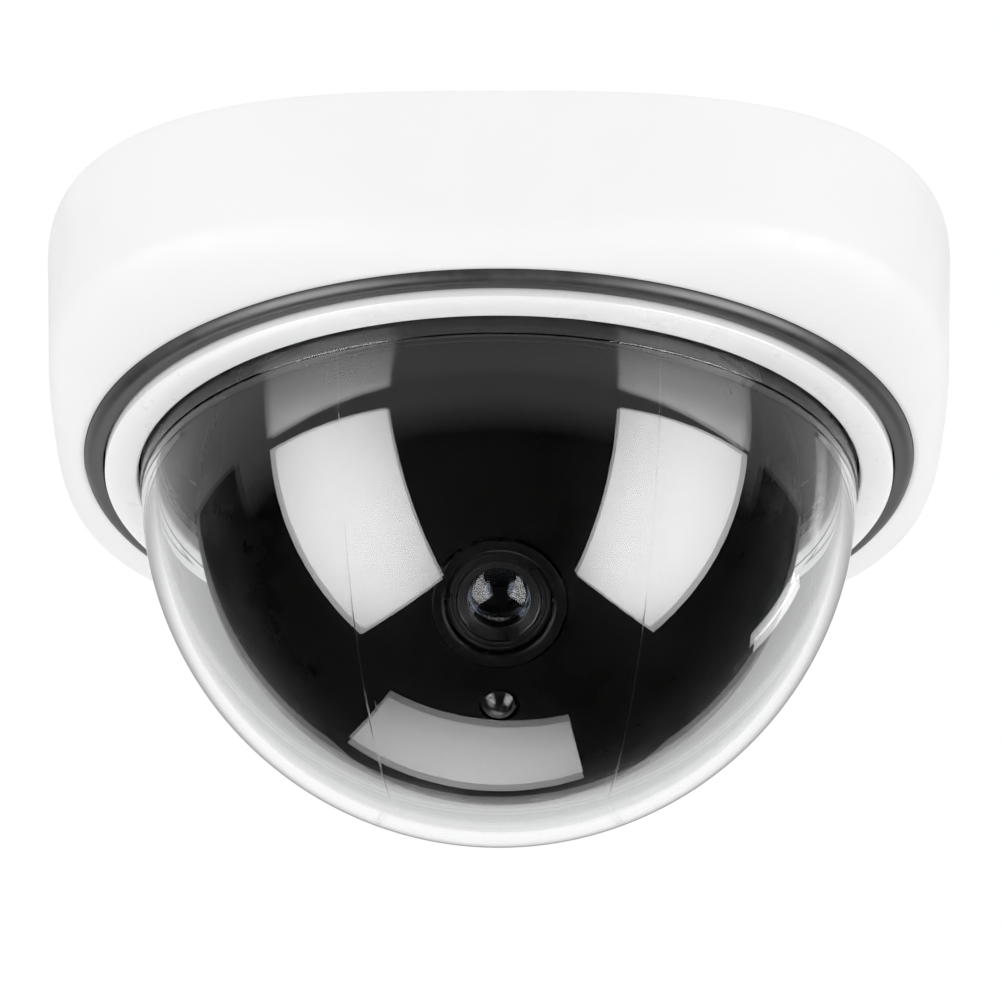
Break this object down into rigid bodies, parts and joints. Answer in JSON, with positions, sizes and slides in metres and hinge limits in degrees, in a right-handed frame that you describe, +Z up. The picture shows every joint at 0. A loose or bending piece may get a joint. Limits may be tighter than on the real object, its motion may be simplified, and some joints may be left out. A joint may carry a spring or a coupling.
{
  "type": "dome camera",
  "caption": "Ceiling dome camera: rounded-square housing, twist-off clear dome, and a black eyeball with a small lens that pans, tilts and turns.",
  "frame": {"origin": "centre of the circle of ceiling screws, in the plane of the ceiling face", "axes": "+Z up into the ceiling, -Y the way the lens looks at rest, +X to the right of someone facing the lens from the front; the dome hangs towards -Z"},
  "size_m": [0.12, 0.12, 0.0741],
  "materials": {
    "housing_white": "satin moulded ABS",
    "trim_white": "smooth moulded ABS",
    "plate_black": "fine textured black ABS",
    "bead_rubber": "smooth black elastomer",
    "clear_dome": "clear polycarbonate, polished",
    "eyeball_black": "smooth black with little sheen",
    "inner_black": "fine matte black",
    "bezel_black": "gloss black",
    "barrel_black": "black anodised",
    "steel": "zinc plated",
    "brass": "turned",
    "nylon": "natural nylon",
    "board_green": "solder mask over glass fibre",
    "chip_black": "moulded epoxy",
    "button_white": "moulded",
    "led_lens": "smoked clear epoxy",
    "lens_glass": "coated optical glass"
  },
  "bodies": {
    "base": {"mounting_plate": "plate_black", "plate_screws": "steel", "housing": "housing_white", "bead_ring": "bead_rubber", "cable_grommet": "bead_rubber", "pan_washer": "nylon", "pan_retainer": "steel", "retainer_screws": "steel"},
    "dome_cover": {"trim_ring": "trim_white", "dome": "clear_dome", "dome_gasket": "bead_rubber", "bayonet_ring": "inner_black", "bayonet_screws": "steel"},
    "turntable": {"pan_plate": "inner_black", "yoke_left": "steel", "yoke_right": "steel", "yoke_screws": "steel"},
    "eyeball": {"cradle": "inner_black", "tilt_screws": "steel", "tilt_washers": "nylon", "eyeball_shell": "eyeball_black", "shell_screws": "steel", "status_led": "led_lens", "led_holder": "inner_black", "led_board": "board_green"},
    "camera_module": {"module_can": "inner_black", "module_clip": "steel", "lens_bezel": "bezel_black", "lens_holder": "inner_black", "lock_ring": "brass", "sensor_board": "board_green", "image_sensor": "chip_black", "ir_filter": "lens_glass", "main_board": "board_green", "board_chips": "chip_black", "link_connector": "nylon", "board_spacers": "brass", "board_screws": "steel", "cable_socket": "nylon", "reset_switch": "chip_black"},
    "reset_key": {"reset_button": "button_white"},
    "lens": {"lens_barrel": "barrel_black", "lens_ring": "barrel_black", "front_element": "lens_glass", "rear_element": "lens_glass"}
  },
  "joints": [
    {"name": "dome_twist", "type": "hinge", "parent": "base", "child": "dome_cover", "pos_m": [0, 0, -0.023], "axis": [0, 0, 1], "range_deg": [0, 30]},
    {"name": "pan", "type": "hinge", "parent": "base", "child": "turntable", "pos_m": [0, 0, -0.007], "axis": [0, 0, 1], "range_deg": [-175, 175]},
    {"name": "tilt", "type": "hinge", "parent": "turntable", "child": "eyeball", "pos_m": [0, 0, -0.0285], "axis": [1, 0, 0], "range_deg": [-15, 30]},
    {"name": "lens_rotation", "type": "hinge", "parent": "eyeball", "child": "camera_module", "pos_m": [0, 0, -0.0285], "axis": [0, -0.7071, -0.7071], "range_deg": [-170, 170]},
    {"name": "focus", "type": "hinge", "parent": "camera_module", "child": "lens", "pos_m": [0, 0, -0.0285], "axis": [0, -0.7071, -0.7071], "range_deg": [-180, 180]},
    {"name": "reset_press", "type": "slide", "parent": "camera_module", "child": "reset_key", "axis": [0, -0.7071, -0.7071], "range_m": [0, 0.0003], "stiffness_N_per_m": 1500}
  ]
}
